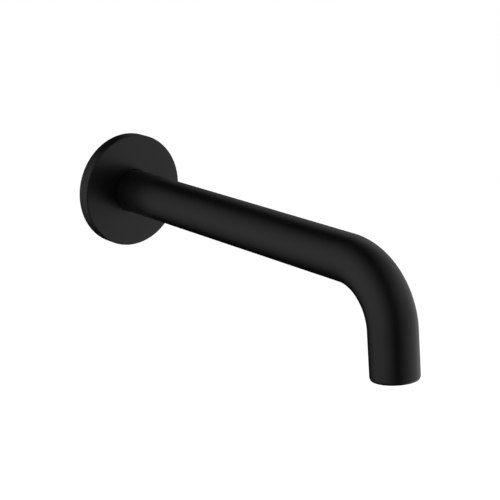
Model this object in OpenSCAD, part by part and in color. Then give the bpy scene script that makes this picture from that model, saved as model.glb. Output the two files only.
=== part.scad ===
// Wall-mounted basin or bath spout, in millimetres.
// The wall is the plane y = 0 and the spout reaches out of it along -Y, with +Z up.
// The origin is on the tube's axis, in the plane of the wall.

/* [Spout tube] */
// Outside diameter of the tube
tube_d = 25; // [24:0.5:32]
// Wall of the tube
tube_wall = 1; // [0.8:0.1:1.2]
// Reach, from the wall to the middle of the mouth
reach = 225; // [150:1:320]
// Radius of the bend, along the middle of the tube
bend_radius = 32.5; // [25:0.5:60]
// Angle that the tube is bent down by
bend_angle = 84; // [70:1:90]
// Straight leg between the bend and the mouth
outlet_leg = 24; // [22:0.5:60]
// Rounding of the mouth's lip
lip_radius = 0.4; // [0.1:0.05:0.4]

/* [Cover plate] */
// Diameter of the plate
plate_d = 66; // [60:1:90]
// Height of the plate from the wall
plate_height = 7.5; // [7:0.5:14]
// Rounding of the plate's front edge
plate_edge_radius = 0.8; // [0.3:0.1:1.5]
// Thickness of the plate's face over the hollow
face_thickness = 2.4; // [1.8:0.1:3]
// Width of the rim that meets the wall
rim_width = 2.6; // [1.8:0.1:4]
// Rounding of the hollow's inner corners
hollow_radius = 0.8; // [0.3:0.1:1]
// Clearance between the plate's bore and the tube, on the radius
plate_clearance = 0.15; // [0.1:0.05:0.3]
// Wall of the hub behind the seal's groove
hub_wall = 2; // [1.2:0.1:3]
// How far the hub stays back from the wall
hub_relief = 0.4; // [0.2:0.1:0.8]

/* [Plate seals] */
// Section of the ring that grips the tube
seal_section = 2; // [1.5:0.1:2.4]
// Side play of the ring in its groove, over both sides
seal_play = 0.4; // [0.2:0.1:0.8]
// Gap left beside the foam gasket in the hollow
gasket_side_gap = 1; // [0.5:0.1:2]

/* [Wall connection] */
// Wall of the connector outside the root of its thread
connector_wall = 0.9725; // [0.9:0.0025:1.5]
// Depth of the inlet thread's form, from root to crest
inlet_thread_depth = 1.162; // [0.85:0.001:1.48]
// Depth of the threaded bore
inlet_thread_length = 12; // [9:0.5:18]
// Depth of the countersink at the thread's mouth
countersink_depth = 0.45; // [0.2:0.05:0.5]
// Length of the relief behind the thread
relief_length = 4; // [3.5:0.5:6]
// How far the washer seat reaches inward past the thread's crest
seat_width = 2.8; // [2.2:0.1:4]
// Length of the throat behind the washer seat
throat_length = 6; // [3:0.5:12]
// Clearance between the inlet washer and the thread's crest, on the radius
inlet_washer_clearance = 0.1; // [0.05:0.05:0.3]
// Width of the inlet washer, from its edge to its hole
inlet_washer_width = 3.4; // [2.9:0.1:4.5]
// Thickness of the inlet washer
inlet_washer_thickness = 2; // [1:0.1:2.4]

/* [Outlet ring] */
// Wall of the ring outside the aerator's thread
ring_wall = 2.475; // [2:0.025:2.6]
// How far the ring sits up inside the mouth
ring_recess = 0.6; // [0.3:0.1:1]
// How far the aerator sits up inside the mouth
aerator_recess = 1.4; // [1:0.1:2]
// How far the shoulder that stops the aerator reaches inward
shoulder_reach = 2; // [1.8:0.05:2.1]
// Thickness of the shoulder
shoulder_thickness = 1.6; // [1:0.1:2]
// Height of the funnel above the shoulder
funnel_height = 2.4; // [1:0.1:3]

/* [Aerator] */
// Wall of the housing's plain bore, from the thread's mean diameter
housing_wall = 1.3; // [1.1:0.05:1.4]
// Height of the inward lip at the housing's mouth
housing_lip = 1.4; // [1:0.1:1.8]
// How far the lip reaches inward
lip_reach = 0.55; // [0.4:0.05:0.7]
// Key notches round the housing's mouth
key_notches = 16; // [8:2:24]
// Width of each key notch
notch_width = 1.1; // [0.6:0.1:1.2]
// Height of each key notch
notch_height = 0.9; // [0.5:0.1:1]
// Thickness of the aerator washer
aerator_washer_thickness = 1.5; // [1:0.1:2]
// Width of the aerator washer, from its edge to its hole
aerator_washer_width = 2.1; // [2.05:0.05:2.3]

/* [Stream former] */
// Width of each honeycomb cell across its flats
cell_width = 1.45; // [1:0.05:2]
// Wall between the honeycomb cells
cell_wall = 0.3; // [0.25:0.05:0.6]
// Depth of the honeycomb
comb_depth = 3.2; // [2.5:0.1:4]
// Thickness of the flange that lies on the housing's lip
grid_flange = 1; // [0.6:0.1:1.4]
// Height of the skirt, from the flange's underside to its top
skirt_height = 5.4; // [4.6:0.1:6]
// Thickness of the skirt
skirt_wall = 0.7; // [0.5:0.05:0.9]
// Air windows round the skirt
air_windows = 8; // [4:1:12]
// Width of each air window
window_width = 2.4; // [1:0.1:3]

/* [Jets and regulator] */
// Thickness of the jet disc
jet_disc_thickness = 1.6; // [1:0.1:2]
// Margin from the jet disc's edge to its outer circle of holes
jet_margin = 2.65; // [2:0.05:3]
// Distance between the two circles of jet holes
jet_circle_step = 2.3; // [2:0.1:2.6]
// Distance between neighbouring jet holes, round their circle
jet_spacing = 1.9; // [1.7:0.1:3]
// Diameter of each jet hole where the water leaves
jet_d = 0.8; // [0.5:0.05:1.1]
// Diameter of each jet hole where the water enters
jet_inlet_d = 1.3; // [1.15:0.05:1.5]
// Thickness of the regulator body
regulator_thickness = 2.6; // [2.4:0.1:3]
// Section of the regulator ring
regulator_section = 1.5; // [1.2:0.1:1.6]
// Wall of the regulator body outside its channel
regulator_rim = 1.55; // [1.3:0.05:1.7]
// Lobes round the regulator's core, with a metering hole between each two
regulator_lobes = 10; // [6:1:12]
// Radius of each lobe
lobe_r = 0.5; // [0.3:0.05:0.6]
// Diameter of each metering hole
metering_d = 1; // [0.6:0.1:1.2]

/* [Filter] */
// Thickness of the filter's flange
filter_flange = 0.8; // [0.6:0.1:1.2]
// Height of the basket above its flange
basket_height = 3.4; // [2:0.1:4]
// Wall of the basket
basket_wall = 0.5; // [0.4:0.05:0.7]
// Play between the basket and the aerator washer, on the radius
basket_play = 0.35; // [0.3:0.05:0.5]
// How much narrower the basket is at its top, on the radius
basket_taper = 1.8; // [1:0.1:2.2]
// Slits round the basket
basket_slits = 24; // [12:2:32]
// Width of each slit
slit_width = 0.45; // [0.3:0.05:0.5]

/* [Hidden] */
$fn = 72;

// Small enough to be a contact, large enough that two pieces share no space
contact = 0.03;
// Gap that the brazing metal fills, on the radius
braze_gap = 0.05;
// How far a cutting shape runs past the face that it cuts
past = 1;

// The tube's centre line runs level out of the wall, round the bend and down the leg
tube_r = tube_d / 2;
tube_bore_r = tube_r - tube_wall;
run_length = reach - bend_radius * sin(bend_angle) - outlet_leg * cos(bend_angle);
// The leg is sized after bending: its wall stands this much proud of the bend's, inside and out
leg_sizing = 0.01;
// How far the sized leg runs back over the bend's end
leg_overlap = 0.1;

// Plate, from the bore outward
plate_r = plate_d / 2;
plate_bore_r = tube_r + plate_clearance;
seal_middle_r = tube_r + contact + seal_section / 2;
groove_r = tube_r + seal_section + 2 * contact;
groove_width = seal_section + seal_play;
seal_depth = (hub_relief + plate_height) / 2;
hub_r = groove_r + hub_wall;
rim_inner_r = plate_r - rim_width;
hollow_depth = plate_height - face_thickness;

// Wall connection, from the wall inward
connector_r = tube_bore_r - braze_gap;
inlet_root_r = connector_r - connector_wall;
inlet_bore_r = inlet_root_r - inlet_thread_depth;
throat_r = inlet_bore_r - seat_width;
inlet_washer_r = inlet_bore_r - inlet_washer_clearance;
washer_seat = inlet_thread_length + relief_length;
connector_length = washer_seat + throat_length;
connector_chamfer = 0.6;

// Outlet, measured up from the mouth along the leg
thread_play = 0.1;
ring_r = tube_bore_r - braze_gap;
ring_bore_r = ring_r - ring_wall;
shoulder_r = ring_bore_r - shoulder_reach;
housing_r = ring_bore_r - thread_play;
housing_bore_r = housing_r - housing_wall;
lip_bore_r = housing_bore_r - lip_reach;
insert_r = housing_bore_r - contact;
lip_top = aerator_recess + housing_lip;
grid_base = lip_top + contact;
jet_base = grid_base + skirt_height + contact;
regulator_base = jet_base + jet_disc_thickness + contact;
filter_base = regulator_base + regulator_thickness + contact;
housing_top = filter_base + filter_flange;
aerator_washer_base = housing_top + contact;
shoulder_base = aerator_washer_base + aerator_washer_thickness + contact;
funnel_base = shoulder_base + shoulder_thickness;
ring_top = funnel_base + funnel_height;
funnel_edge = 0.5;
thread_chamfer = 0.4;
aerator_washer_r = housing_r - contact;
aerator_washer_hole_r = aerator_washer_r - aerator_washer_width;
basket_r = aerator_washer_hole_r - basket_play;
basket_top_r = basket_r - basket_taper;

// Regulator channel, from its outer wall inward past the ring
channel_outer_r = insert_r - regulator_rim;
regulator_ring_r = channel_outer_r - contact - regulator_section / 2;
channel_inner_r = regulator_ring_r - regulator_section / 2 - contact - lobe_r;
channel_floor = regulator_base + regulator_thickness - regulator_section - 4 * contact;

// Turns depth into the room: +Z in here is the way out of the wall
module out_of_wall() {
  rotate([90, 0, 0]) children();
}

// The bend's own axis is +Z in here, and the run comes in at +X
module bend_centre() {
  translate([0, -run_length, -bend_radius]) rotate([180, -90, 0]) children();
}

// Stands where the bend becomes the leg: +Z in here is the way to the mouth
module down_the_leg() {
  bend_centre() rotate(bend_angle) translate([bend_radius, 0, 0]) rotate([-90, 0, 0]) children();
}

// Stands at the middle of the mouth: +Z in here runs back up the leg, into the tube
module up_the_leg() {
  down_the_leg() translate([0, 0, outlet_leg]) rotate([180, 0, 0]) children();
}

module tube_section() {
  difference() {
    circle(tube_r);
    circle(tube_bore_r);
  }
}

// Half section from inner to outer radius, between two heights
module band(inner, outer, low, high) {
  translate([inner, low]) square([outer - inner, high - low]);
}

// The same band with the corners at its high end rounded, the inner one too if asked
module band_round_high(inner, outer, low, high, radius, both = false) {
  inset = both ? radius : 0;
  band(inner, outer, low, high - radius);
  band(inner + inset, outer - radius, low, high);
  translate([outer - radius, high - radius]) circle(radius);
  if (both) translate([inner + radius, high - radius]) circle(radius);
}

module flat_ring(outer_r, inner_r, thickness) {
  difference() {
    cylinder(r = outer_r, h = thickness);
    translate([0, 0, -past]) cylinder(r = inner_r, h = thickness + 2 * past);
  }
}

module around(count, radius) {
  for (i = [0:count - 1]) rotate(i * 360 / count) translate([radius, 0, 0]) children();
}

// The tube's level run, out of the wall as far as the bend
module spout_tube() {
  color("#242424") out_of_wall() linear_extrude(run_length - contact) tube_section();
}

// The tube's bent end: bend about a level axis, and leg with a rounded lip
module outlet_bend() {
  color("#242424") {
    bend_centre() rotate_extrude(angle = bend_angle) translate([bend_radius, 0]) tube_section();
    down_the_leg() rotate_extrude() band_round_high(
      tube_bore_r - leg_sizing,
      tube_r + leg_sizing,
      -leg_overlap,
      outlet_leg,
      lip_radius,
      both = true
    );
  }
}

// Turned disc, hollow behind, with a hub that carries the seal
module cover_plate() {
  color("#242424") out_of_wall() rotate_extrude() difference() {
    band_round_high(plate_bore_r, plate_r, 0, plate_height, plate_edge_radius);
    translate([0, -past]) band_round_high(hub_r, rim_inner_r, 0, hollow_depth + past, hollow_radius, both = true);
    band(plate_bore_r - past, hub_r + past, -past, hub_relief);
    band(
      plate_bore_r - past,
      groove_r,
      seal_depth - groove_width / 2,
      seal_depth + groove_width / 2
    );
  }
}

module plate_seal() {
  color("#101010") out_of_wall() translate([0, 0, seal_depth])
    rotate_extrude() translate([seal_middle_r, 0]) circle(seal_section / 2);
}

module wall_gasket() {
  color("#2c2c2c") out_of_wall()
    flat_ring(rim_inner_r - gasket_side_gap, hub_r + gasket_side_gap, hollow_depth - contact);
}

// Bush in the wall end: countersink, thread, relief, washer seat and throat
module inlet_connector() {
  relief_r = inlet_root_r + 0.1;
  color("#b5924c") out_of_wall() rotate_extrude() polygon([
    [connector_r, 0],
    [connector_r, connector_length - connector_chamfer],
    [connector_r - connector_chamfer, connector_length],
    [throat_r + connector_chamfer, connector_length],
    [throat_r, connector_length - connector_chamfer],
    [throat_r, washer_seat],
    [relief_r, washer_seat],
    [relief_r, inlet_thread_length + relief_r - inlet_bore_r],
    [inlet_bore_r, inlet_thread_length],
    [inlet_bore_r, countersink_depth],
    [inlet_root_r, 0]
  ]);
}

module inlet_washer() {
  color("#161616") out_of_wall()
    translate([0, 0, washer_seat - contact - inlet_washer_thickness])
      flat_ring(inlet_washer_r, inlet_washer_r - inlet_washer_width, inlet_washer_thickness);
}

// Ring in the mouth: thread below, stop shoulder, funnel above
module outlet_ring() {
  color("#b5924c") up_the_leg() rotate_extrude() polygon([
    [ring_bore_r + thread_chamfer, ring_recess],
    [ring_r, ring_recess],
    [ring_r, ring_top],
    [ring_r - funnel_edge, ring_top],
    [shoulder_r, funnel_base],
    [shoulder_r, shoulder_base],
    [ring_bore_r, shoulder_base],
    [ring_bore_r, ring_recess + thread_chamfer]
  ]);
}

module aerator_washer() {
  color("#161616") up_the_leg()
    translate([0, 0, aerator_washer_base])
      flat_ring(aerator_washer_r, aerator_washer_hole_r, aerator_washer_thickness);
}

// Threaded cup with an inward lip, notched for the key
module aerator_housing() {
  color("#3a3a3a") up_the_leg() difference() {
    rotate_extrude() polygon([
      [lip_bore_r, aerator_recess],
      [housing_r - thread_chamfer, aerator_recess],
      [housing_r, aerator_recess + thread_chamfer],
      [housing_r, housing_top - thread_chamfer],
      [housing_r - thread_chamfer, housing_top],
      [housing_bore_r, housing_top],
      [housing_bore_r, lip_top],
      [lip_bore_r, lip_top]
    ]);
    around(key_notches, lip_bore_r)
      translate([-past, -notch_width / 2, aerator_recess - past])
        cube([past + lip_reach, notch_width, past + notch_height]);
  }
}

// Honeycomb in the mouth, with a flange on the lip and a windowed skirt above
module outlet_grid() {
  core_r = lip_bore_r - 4 * contact;
  comb_base = lip_top - housing_lip + contact;
  comb_top = comb_base + comb_depth;
  skirt_inner_r = insert_r - skirt_wall;
  color("#8d8f90") up_the_leg() {
    difference() {
      union() {
        translate([0, 0, comb_base]) cylinder(r = core_r, h = comb_depth);
        translate([0, 0, grid_base]) cylinder(r = insert_r, h = grid_flange);
      }
      translate([0, 0, comb_base - past]) honeycomb(core_r, comb_depth + 2 * past);
    }
    translate([0, 0, grid_base + grid_flange / 2]) difference() {
      flat_ring(insert_r, skirt_inner_r, skirt_height - grid_flange / 2);
      around(air_windows, insert_r)
        translate([-skirt_wall - past, -window_width / 2, comb_top - grid_base])
          cube([skirt_wall + 2 * past, window_width, skirt_height - comb_depth]);
    }
  }
}

// Six-sided cells on a triangular lattice, as many as lie whole inside the radius
module honeycomb(radius, depth) {
  pitch = cell_width + cell_wall;
  row_pitch = pitch * sqrt(3) / 2;
  corner_r = cell_width / sqrt(3);
  reach_rows = ceil(radius / row_pitch);
  for (row = [-reach_rows:reach_rows], column = [-reach_rows:reach_rows]) {
    x = (column + (row % 2) / 2) * pitch;
    y = row * row_pitch;
    if (norm([x, y]) + corner_r + cell_wall < radius)
      translate([x, y, 0]) rotate(30) cylinder(r = corner_r, h = depth, $fn = 6);
  }
}

// Two circles of holes that narrow downward
module jet_disc() {
  outer_circle = insert_r - jet_margin;
  inner_circle = outer_circle - jet_circle_step;
  color("#d8d8d2") up_the_leg() translate([0, 0, jet_base]) difference() {
    cylinder(r = insert_r, h = jet_disc_thickness);
    for (circle_r = [inner_circle, outer_circle])
      around(floor(2 * PI * circle_r / jet_spacing), circle_r) jet_hole();
  }
}

module jet_hole() {
  cylinder(r1 = jet_d / 2, r2 = jet_inlet_d / 2, h = jet_disc_thickness);
}

// Disc with an open channel: the ring in it squeezes round the lobes as the pressure rises
module regulator_body() {
  lobe_step = 360 / regulator_lobes;
  color("#c9c9c2") up_the_leg() {
    difference() {
      translate([0, 0, regulator_base]) cylinder(r = insert_r, h = regulator_thickness);
      translate([0, 0, channel_floor])
        flat_ring(channel_outer_r, channel_inner_r, regulator_thickness);
      rotate(lobe_step / 2)
        around(regulator_lobes, regulator_ring_r)
          translate([0, 0, regulator_base - past]) cylinder(d = metering_d, h = regulator_thickness + past);
    }
    around(regulator_lobes, channel_inner_r)
      translate([0, 0, regulator_base + contact])
        cylinder(r = lobe_r, h = regulator_thickness - 2 * contact);
  }
}

module regulator_ring() {
  color("#161616") up_the_leg()
    translate([0, 0, channel_floor + contact + regulator_section / 2])
      rotate_extrude() translate([regulator_ring_r, 0]) circle(regulator_section / 2);
}

// Slitted basket standing up through the washer and the shoulder
module filter_screen() {
  top_holes = 8;
  top_hole_d = 0.9;
  basket_base = filter_base + filter_flange;
  slit_height = basket_height - 2 * basket_wall;
  color("#b9bcbe") up_the_leg() difference() {
    union() {
      translate([0, 0, filter_base]) cylinder(r = insert_r, h = filter_flange);
      translate([0, 0, basket_base]) cylinder(r1 = basket_r, r2 = basket_top_r, h = basket_height);
    }
    translate([0, 0, basket_base])
      cylinder(r1 = basket_r - basket_wall, r2 = basket_top_r - basket_wall, h = basket_height - basket_wall);
    translate([0, 0, filter_base - past]) cylinder(r = basket_r - basket_wall, h = filter_flange + past);
    around(basket_slits, basket_top_r)
      translate([-2 * basket_wall, -slit_width / 2, basket_base + basket_wall])
        cube([basket_r, slit_width, slit_height]);
    around(top_holes, basket_top_r / 2)
      translate([0, 0, basket_base]) cylinder(d = top_hole_d, h = basket_height + past);
  }
}

spout_tube();
outlet_bend();
cover_plate();
plate_seal();
wall_gasket();
inlet_connector();
inlet_washer();
outlet_ring();
aerator_washer();
aerator_housing();
outlet_grid();
jet_disc();
regulator_body();
regulator_ring();
filter_screen();
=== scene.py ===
import math
from functools import partial

import bpy
from mathutils import Matrix, Vector


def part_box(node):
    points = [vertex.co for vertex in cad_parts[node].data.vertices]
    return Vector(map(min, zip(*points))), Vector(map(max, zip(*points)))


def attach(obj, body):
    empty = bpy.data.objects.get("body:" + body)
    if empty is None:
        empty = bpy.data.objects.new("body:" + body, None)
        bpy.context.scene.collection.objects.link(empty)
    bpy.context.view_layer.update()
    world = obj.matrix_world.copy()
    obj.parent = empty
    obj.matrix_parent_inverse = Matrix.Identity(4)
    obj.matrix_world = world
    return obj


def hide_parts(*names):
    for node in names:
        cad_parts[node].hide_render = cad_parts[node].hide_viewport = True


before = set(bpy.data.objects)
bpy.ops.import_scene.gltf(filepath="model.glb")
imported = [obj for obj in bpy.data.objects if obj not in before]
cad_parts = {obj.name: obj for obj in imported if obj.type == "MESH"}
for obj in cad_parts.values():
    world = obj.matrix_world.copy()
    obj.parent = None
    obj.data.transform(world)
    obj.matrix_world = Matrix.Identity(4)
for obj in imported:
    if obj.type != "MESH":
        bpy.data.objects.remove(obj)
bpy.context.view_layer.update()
print("frame loaded:", len(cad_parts), "nodes")

mm = 0.001  # the scene is in metres

# The tube's centre line: level out of the wall, round the bend and down the leg
spoutLine = {
    "reach": 225 * mm,  # wall to the middle of the mouth
    "bendRadius": 32.5 * mm,
    "bendAngle": math.radians(84),
    "leg": 24 * mm,
}
bendReach = spoutLine["bendRadius"] * math.sin(spoutLine["bendAngle"])
legReach = spoutLine["leg"] * math.cos(spoutLine["bendAngle"])
runLength = spoutLine["reach"] - bendReach - legReach
bendLength = spoutLine["bendRadius"] * spoutLine["bendAngle"]
mouthAt = runLength + bendLength + spoutLine["leg"]  # measured along the line, from the wall
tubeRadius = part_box("spout_tube")[1].z
tubeWall = 1 * mm
tubeBore = tubeRadius - tubeWall


# Helpers that build node trees
def feed(tree, socket, value):
    if isinstance(value, bpy.types.NodeSocket):
        tree.links.new(value, socket)
    else:
        socket.default_value = value


# Adds a node and gives its outputs
def place(tree, kind, feeds=None, **settings):
    made = tree.nodes.new(kind)
    for name, value in settings.items():
        setattr(made, name, value)
    for socket, value in (feeds or {}).items():
        feed(tree, made.inputs[socket], value)
    return made.outputs


def mathNode(tree, operation, *values):
    return place(tree, "ShaderNodeMath", dict(enumerate(values)), operation=operation)[0]


# inputs: (name, socket type, value); the tree comes with its own short way to add a Math node
def newTree(name, inputs, outputs, kind="ShaderNodeTree"):
    tree = bpy.data.node_groups.new(name, kind)
    sockets = [("INPUT", *spec) for spec in inputs] + [("OUTPUT", *spec, None) for spec in outputs]
    for side, label, socketType, value in sockets:
        socket = tree.interface.new_socket(name=label, in_out=side, socket_type="NodeSocket" + socketType)
        if value is not None:
            socket.default_value = value
    entry = place(tree, "NodeGroupInput")
    leave = tree.nodes.new("NodeGroupOutput").inputs
    return tree, partial(mathNode, tree), entry, leave


def endTree(tree, leave, results):
    for name, value in results.items():
        feed(tree, leave[name], value)
    return tree


# Every Geometry Nodes tree begins and ends like this
def geometryTree(name, inputs):
    inputs = inputs + [("Finish", "Material", None)]
    return newTree(name, inputs, [("Mesh", "Geometry")], "GeometryNodeTree")


def endGeometryTree(tree, geometry, entry, leave):
    whole = place(tree, "GeometryNodeRealizeInstances", {"Geometry": geometry})[0]
    feeds = {"Geometry": whole, "Material": entry["Finish"]}
    return endTree(tree, leave, {"Mesh": place(tree, "GeometryNodeSetMaterial", feeds)[0]})


# The row and column of each point in a grid of so many columns
def rowAndColumn(tree, calc, columns):
    index = place(tree, "GeometryNodeInputIndex")[0]
    row = calc("FLOOR", calc("DIVIDE", calc("ADD", index, 0.5), columns))  # the half keeps it off the edge
    return row, calc("SUBTRACT", index, calc("MULTIPLY", row, columns))


def position(tree):
    return place(tree, "GeometryNodeInputPosition")[0]


def separate(tree, vector):
    return place(tree, "ShaderNodeSeparateXYZ", {"Vector": vector})


def combine(tree, x, y, z):
    return place(tree, "ShaderNodeCombineXYZ", {"X": x, "Y": y, "Z": z})[0]


def transformed(tree, geometry, **how):
    return place(tree, "GeometryNodeTransform", {"Geometry": geometry, **how})[0]


def moved(tree, geometry, spot):
    return place(tree, "GeometryNodeSetPosition", {"Geometry": geometry, "Position": spot})[0]


def addObject(name, data):
    made = bpy.data.objects.new(name, data)
    bpy.context.scene.collection.objects.link(made)
    return made


mergeWithin = 0.001 * mm


# One tree for every ring-shaped piece: it carries a section round the spout's centre line.
# The section is the object's own mesh, one vertex a corner: x is the distance along the line, y the radius.
# Where "threaded" is 1 or -1 the rows climb like a screw, and a thread is cut outwards or inwards from them.
def sweptSectionTree():
    tree, calc, entry, leave = geometryTree("sweptSection", [
        ("Section", "Geometry", None),
        ("Around", "Int", 96),
        ("Run", "Float", runLength),
        ("Bend Radius", "Float", spoutLine["bendRadius"]),
        ("Bend Angle", "Float", spoutLine["bendAngle"]),
        ("Pitch", "Float", 1 * mm),
        ("Thread Depth", "Float", 0.0),
        ("Thread From", "Float", 0.0),
        ("Thread To", "Float", 0.0),
        ("Start Depth", "Float", 0.0),
        ("Start Length", "Float", 1 * mm),
        ("End Depth", "Float", 0.0),
        ("End Length", "Float", 1 * mm),
    ])
    rows = place(tree, "GeometryNodeAttributeDomainSize", {"Geometry": entry["Section"]})["Point Count"]
    columns = calc("ADD", entry["Around"], 1)
    feeds = {"Vertices X": calc("ADD", rows, 1), "Vertices Y": columns}
    grid = place(tree, "GeometryNodeMeshGrid", feeds)["Mesh"]
    row, column = rowAndColumn(tree, calc, columns)
    corner = calc("MODULO", row, rows)

    # What the section says at this row's corner
    def fromSection(value, dataType):
        feeds = {"Geometry": entry["Section"], "Value": value, "Index": corner}
        return place(tree, "GeometryNodeSampleIndex", feeds, data_type=dataType, domain="POINT")["Value"]

    def named(name):
        value = place(tree, "GeometryNodeInputNamedAttribute", {"Name": name}, data_type="FLOAT")[0]
        return fromSection(value, "FLOAT")

    def stored(geometry, name, value, dataType):
        feeds = {"Geometry": geometry, "Name": name, "Value": value}
        return place(tree, "GeometryNodeStoreNamedAttribute", feeds, data_type=dataType, domain="POINT")[0]

    point = separate(tree, fromSection(position(tree), "FLOAT_VECTOR"))
    share = calc("DIVIDE", column, entry["Around"])
    turn = calc("MULTIPLY", share, math.tau)

    # The thread: its rows climb one pitch a turn between its two ends, and a cone opens each end
    threaded = named("threaded")
    climbed = calc("MULTIPLY_ADD", share, entry["Pitch"], point["X"])
    climbed = calc("MAXIMUM", climbed, entry["Thread From"])
    climbed = calc("MINIMUM", climbed, entry["Thread To"])
    onThread = calc("ABSOLUTE", threaded)
    along = calc("MULTIPLY_ADD", onThread, calc("SUBTRACT", climbed, point["X"]), point["X"])
    phase = calc("SUBTRACT", calc("DIVIDE", along, entry["Pitch"]), share)
    phase = calc("MULTIPLY_ADD", threaded, 0.25, phase)
    wave = calc("COSINE", calc("MULTIPLY", phase, math.tau))
    # Sine-like, so both threads of a pair fit: their phases are half a pitch apart
    cut = calc("MULTIPLY", calc("MULTIPLY_ADD", wave, 0.5, 0.5), entry["Thread Depth"])

    def cone(end, away):
        past = calc("DIVIDE", away, entry[end + " Length"])
        return calc("MULTIPLY", calc("SUBTRACT", 1, past), entry[end + " Depth"])

    startCone = cone("Start", calc("SUBTRACT", along, entry["Thread From"]))
    endCone = cone("End", calc("SUBTRACT", entry["Thread To"], along))
    cut = calc("MAXIMUM", cut, calc("MAXIMUM", startCone, endCone))
    radius = calc("MULTIPLY_ADD", threaded, cut, point["Y"])

    # Where that distance lies on the line: y and z of the line, and how far it has turned down
    run, bendRadius, bendAngle = entry["Run"], entry["Bend Radius"], entry["Bend Angle"]
    bent = calc("DIVIDE", calc("SUBTRACT", along, run), bendRadius)
    bent = calc("MINIMUM", calc("MAXIMUM", bent, 0), bendAngle)
    sine, cosine = calc("SINE", bent), calc("COSINE", bent)
    legFrom = calc("MULTIPLY_ADD", bendRadius, bendAngle, run)
    leg = calc("MAXIMUM", calc("SUBTRACT", along, legFrom), 0)
    out = calc("MULTIPLY_ADD", bendRadius, sine, calc("MINIMUM", along, run))
    out = calc("MULTIPLY_ADD", leg, cosine, out)
    drop = calc("MULTIPLY", bendRadius, calc("SUBTRACT", 1, cosine))
    drop = calc("MULTIPLY_ADD", leg, sine, drop)

    across = calc("MULTIPLY", radius, calc("COSINE", turn))
    upward = calc("MULTIPLY", radius, calc("SINE", turn))
    y = calc("MULTIPLY_ADD", upward, sine, out)
    z = calc("SUBTRACT", calc("MULTIPLY", upward, cosine), drop)
    ring = moved(tree, grid, combine(tree, across, calc("MULTIPLY", y, -1), z))
    ring = stored(ring, "worn", named("worn"), "FLOAT")
    ring = stored(ring, "section", combine(tree, along, radius, 0.0), "FLOAT_VECTOR")
    closed = place(tree, "GeometryNodeMergeByDistance", {"Geometry": ring, "Distance": mergeWithin})[0]
    sides = place(tree, "GeometryNodeInputMeshEdgeNeighbors")["Face Count"]
    bareEdge = calc("LESS_THAN", sides, 0.5)  # what is left along the axis of a solid piece
    feeds = {"Geometry": closed, "Selection": bareEdge}
    clean = place(tree, "GeometryNodeDeleteGeometry", feeds, domain="EDGE", mode="EDGE_FACE")[0]
    return endGeometryTree(tree, clean, entry, leave)


sweptSection = sweptSectionTree()


# Rounds the corners of a closed outline of (along, radius, rounding), and says where it is rounded
def roundedOutline(corners, step=math.radians(15)):
    points = []
    count = len(corners)
    for i, (along, radius, rounding) in enumerate(corners):
        here = Vector((along, radius))
        before = Vector(corners[i - 1][:2]) - here
        after = Vector(corners[(i + 1) % count][:2]) - here
        if not rounding:
            points.append((here, 0.0))
            continue
        half = before.angle(after) / 2
        back = rounding / math.tan(half)
        centre = here + (before.normalized() + after.normalized()).normalized() * (rounding / math.sin(half))
        start = here + before.normalized() * back - centre
        sweep = math.pi - 2 * half
        side = 1 if before.x * after.y - before.y * after.x < 0 else -1
        steps = max(2, math.ceil(sweep / step))
        for k in range(steps + 1):
            turn = Matrix.Rotation(side * sweep * k / steps, 2)
            points.append((centre + turn @ start, 1.0))
    return points


stationGap = 0.01 * mm


# Adds rings along the long sides of an outline, closer together round the bend
def withStations(points, stations):
    full = []
    for i, (here, worn) in enumerate(points):
        full.append((here, worn))
        there = points[(i + 1) % len(points)][0]
        low, high = sorted((here.x, there.x))
        onSide = [s for s in stations if low + stationGap < s < high - stationGap]
        for s in sorted(onSide, reverse=there.x < here.x):
            full.append((here.lerp(there, (s - here.x) / (there.x - here.x)), 0.0))
    return full


def signedVolume(mesh):
    total = 0
    mesh.calc_loop_triangles()
    for triangle in mesh.loop_triangles:
        a, b, c = (mesh.vertices[v].co for v in triangle.vertices)
        total += a.dot(b.cross(c)) / 6
    return total


def setInputs(modifier, values):
    for socket in modifier.node_group.interface.items_tree:
        if socket.in_out == "INPUT" and socket.name in values:
            modifier[socket.identifier] = values[socket.name]


# What the modifier makes, as a mesh of its own, with crisp edges past sharpAt degrees
def plainMesh(carrier, sharpAt):
    graph = bpy.context.evaluated_depsgraph_get()
    made = carrier.evaluated_get(graph)
    mesh = bpy.data.meshes.new_from_object(made, preserve_all_data_layers=True, depsgraph=graph)
    old = carrier.data
    carrier.modifiers.clear()
    carrier.data = mesh
    mesh.name = carrier.name
    bpy.data.meshes.remove(old)
    while mesh.materials and mesh.materials[0] is None:  # the empty slot of the section
        mesh.materials.pop(index=0)
    if signedVolume(mesh) < 0:
        mesh.flip_normals()
    mesh.polygons.foreach_set("use_smooth", [True] * len(mesh.polygons))
    mesh.set_sharp_from_angle(angle=math.radians(sharpAt))


# points: (where, worn) or (where, worn, threaded); thread: the tree's thread inputs by name
def sweptPiece(name, points, finish, around=96, sharpAt=40, thread=None):
    section = bpy.data.meshes.new(name + "Section")
    section.from_pydata([(p[0].x, p[0].y, 0) for p in points], [], [])
    section.attributes.new("worn", "FLOAT", "POINT").data.foreach_set("value", [p[1] for p in points])
    cut = section.attributes.new("threaded", "FLOAT", "POINT")
    cut.data.foreach_set("value", [p[2] if len(p) > 2 else 0.0 for p in points])
    piece = addObject(name, section)
    sweep = piece.modifiers.new("sweep", "NODES")
    sweep.node_group = sweptSection
    values = {
        "Around": around,
        "Run": runLength,
        "Bend Radius": spoutLine["bendRadius"],
        "Bend Angle": spoutLine["bendAngle"],
        "Finish": finish,
        **(thread or {}),
    }
    setInputs(sweep, values)
    plainMesh(piece, sharpAt)
    return piece


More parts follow.
